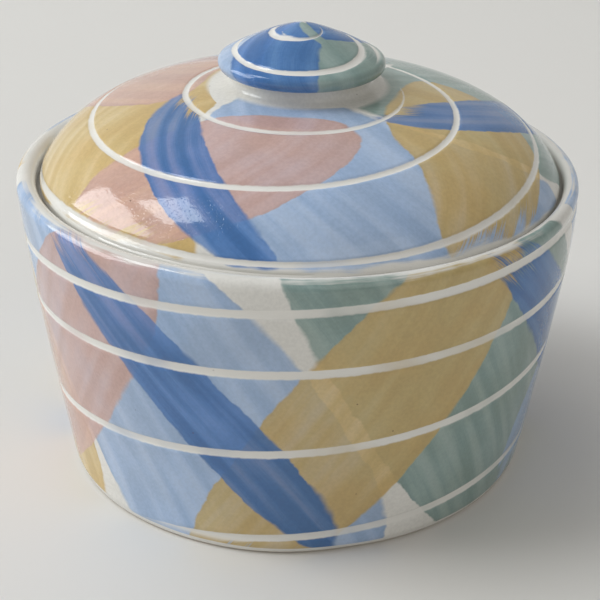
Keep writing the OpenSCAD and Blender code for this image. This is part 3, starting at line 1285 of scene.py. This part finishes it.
def knob_zones():
    """Foot, flare, throat, rolled edge and cone, in the order of the profile."""
    waist = np.array([NECK_R, CROWN_Z + NECK_WAIST_H])
    foot = np.array([NECK_FOOT_R, CROWN_Z])
    flare_turn = (NECK_R, CROWN_Z + (NECK_FOOT_R - NECK_R) * math.tan(math.radians(CROWN_SLOPE)))
    flare = curve(foot, flare_turn, flare_turn, waist, DOME_STEP)
    roll_r = KNOB_R - KNOB_ROLL
    slope = math.atan(KNOB_CONE_POWER * KNOB_CONE_H / (roll_r + KNOB_ROLL / 2))
    cone_r = roll_r + KNOB_ROLL * math.sin(slope)
    roll_c = (roll_r, TIP_Z - KNOB_CONE_H - KNOB_ROLL * math.cos(slope))
    roll = arc(roll_c, KNOB_ROLL, -90, 90 - math.degrees(slope), ROLL_STEP)
    throat_turn = (NECK_R, roll[0, 1])
    throat = curve(waist, throat_turn, throat_turn, roll[0], THROAT_STEP)
    radii = np.linspace(cone_r, 0, CONE_SAMPLES)
    cone = np.stack([radii, TIP_Z - KNOB_CONE_H * (radii / cone_r) ** KNOB_CONE_POWER], 1)
    return [
        {"line": evenly([(0, CROWN_Z), foot], PLAIN_STEP), "painted": 1.0},
        {"line": flare, "painted": 1.0, "first": True},
        {"line": throat, "painted": 1.0, "hand": (0, 0.3, 0.4, 0.5)},
        {"line": roll, "painted": 1.0, "hand": (0.5, 0.5, 0.5, 0.5)},
        {"line": evenly(cone, CONE_STEP), "painted": 1.0, "lined": 1.0, "hand": (0.5, 0.5, 0.4, 0)},
    ]


knob_profile, knob_end = profile_mesh(
    "knob_profile", knob_zones(), lambda at, along: knob_turns(at[:, 0]), start=lid_end
)

# %% [markdown]
# The knob's own dabs come after the lid's and cover its cone. They are short, and the hand that held so
# small a piece strayed less.

# %% Paint and glaze on the knob
KNOB_MIDDLE = knob_end - 12.3
KNOB_DAB = {"length": 26.5, "middle": KNOB_MIDDLE, "lean": 1.5, "stray": 1.0, "lift": 0.0}
KNOB_LAYERS = (
    dabs([SAGE, SAGE, PERIWINKLE], width=60, phase=1.1, seed=41.0, blunt=8.0, gap=-2.0, **KNOB_DAB),
    dark_leaves(2, width=24, phase=0.25, seed=47.0, blunt=4.0, **KNOB_DAB),
)
KNOB_OUT_OF_ROUND = 0.25
knob_glaze = glaze("knob_glaze", LID_LAYERS + KNOB_LAYERS, KNOB_LINE["width"])
knob_feel = {"columns": 256, "out_of_round": KNOB_OUT_OF_ROUND, "seed": 13.0}
knob = throw("glazed_knob", knob_profile, knob_glaze, KNOB_LINE, **knob_feel)

# %% [markdown]
# Each piece stands for its solid and moves with its body: lid and knob lift together.

# %% Pieces on their bodies
for piece, node, body in (
    (crock, "crock_body", "crock"),
    (lid, "lid", "lid_with_knob"),
    (knob, "lid_knob", "lid_with_knob"),
):
    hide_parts(node)
    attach(piece, body)
print("pieces:", [p.name for p in (crock, lid, knob)])

# %% [markdown]
# The pot stands on a pale sweep, a sheet of paper that curves up behind it. Two planes could do the
# same, but the corner where they meet would draw the eye.

# %% Stage
FLOOR_COLOUR = pigment(224, 222, 218)
FLOOR_ROUGHNESS = 0.8
SWEEP_WIDTH = 5.0
SWEEP_NEAR = -2.5
SWEEP_TURN = 0.9
SWEEP_RADIUS = 0.6
SWEEP_TOP = 2.0
SWEEP_STEP = 0.039

sweep_turn = arc((SWEEP_TURN, SWEEP_RADIUS), SWEEP_RADIUS, -90, 0, SWEEP_STEP)
sweep_line = [(SWEEP_NEAR, 0.0), *sweep_turn, (SWEEP_TURN + SWEEP_RADIUS, SWEEP_TOP)]
sweep_points = [(x, y, z) for y, z in sweep_line for x in (-SWEEP_WIDTH / 2, SWEEP_WIDTH / 2)]
sweep_faces = [(2 * i, 2 * i + 1, 2 * i + 3, 2 * i + 2) for i in range(len(sweep_line) - 1)]
sweep_mesh = bpy.data.meshes.new("sweep")
sweep_mesh.from_pydata(sweep_points, [], sweep_faces)
sweep_mesh.shade_smooth()
sweep = bpy.data.objects.new("sweep", sweep_mesh)
scene.collection.objects.link(sweep)
paper = bpy.data.materials.new("paper")
paper.use_nodes = True
paper.node_tree.nodes["Principled BSDF"].inputs["Base Color"].default_value = FLOOR_COLOUR
paper.node_tree.nodes["Principled BSDF"].inputs["Roughness"].default_value = FLOOR_ROUGHNESS
sweep_mesh.materials.append(paper)
print("sweep has", len(sweep_faces), "faces")

# %% [markdown]
# A broad light from the left with a smaller one above it, and a weak fill. The reflection of the lights
# is what makes the glaze look wet, so their shape matters as much as their strength. The light from the
# sky isn't mirrored, because its straight edge would lie across the lid.

# %% Light
ROOM_COLOUR = (1.0, 0.985, 0.96, 1.0)
ROOM_STRENGTH = 0.34
LAMP_AIM = Vector((0, 0, 60 * MM))
DAY_COLOUR = (0.93, 0.972, 1.0)
DAY_DISTANCE = 5.4
SKY_COLOUR = (0.98, 0.99, 1.0)
FILL_COLOUR = (1.0, 0.97, 0.93)

world = bpy.data.worlds.new("room")
world.use_nodes = True
world.node_tree.nodes["Background"].inputs["Color"].default_value = ROOM_COLOUR
world.node_tree.nodes["Background"].inputs["Strength"].default_value = ROOM_STRENGTH
scene.world = world


def lamp(name, azimuth, elevation, distance, size, watts, colour, mirrored=True):
    """A soft area light that faces the crock. Azimuth is counted from +X towards +Y, in degrees."""
    light = bpy.data.lights.new(name, "AREA")
    light.shape = "RECTANGLE"
    light.size, light.size_y = size
    light.energy = watts
    light.color = colour
    a, e = math.radians(azimuth), math.radians(elevation)
    way = Vector((math.cos(a) * math.cos(e), math.sin(a) * math.cos(e), math.sin(e)))
    held = bpy.data.objects.new(name, light)
    held.location = LAMP_AIM + way * distance
    held.rotation_euler = way.to_track_quat("Z", "Y").to_euler()
    held.visible_glossy = mirrored
    scene.collection.objects.link(held)


lamp("broad_light", 176, 24, DAY_DISTANCE, size=(3.7, 2.6), watts=140.0, colour=DAY_COLOUR)
lamp("high_light", 181, 54, DAY_DISTANCE, size=(1.85, 1.55), watts=48.0, colour=DAY_COLOUR)
lamp("sky", 165, 62, 1.4, size=(1.4, 1.2), watts=6.2, colour=SKY_COLOUR, mirrored=False)
lamp("fill", -60, 35, 1.2, size=(0.9, 0.7), watts=1.0, colour=FILL_COLOUR)

# %% [markdown]
# Plain view settings.

# %% Finish
scene.view_settings.view_transform = "Standard"
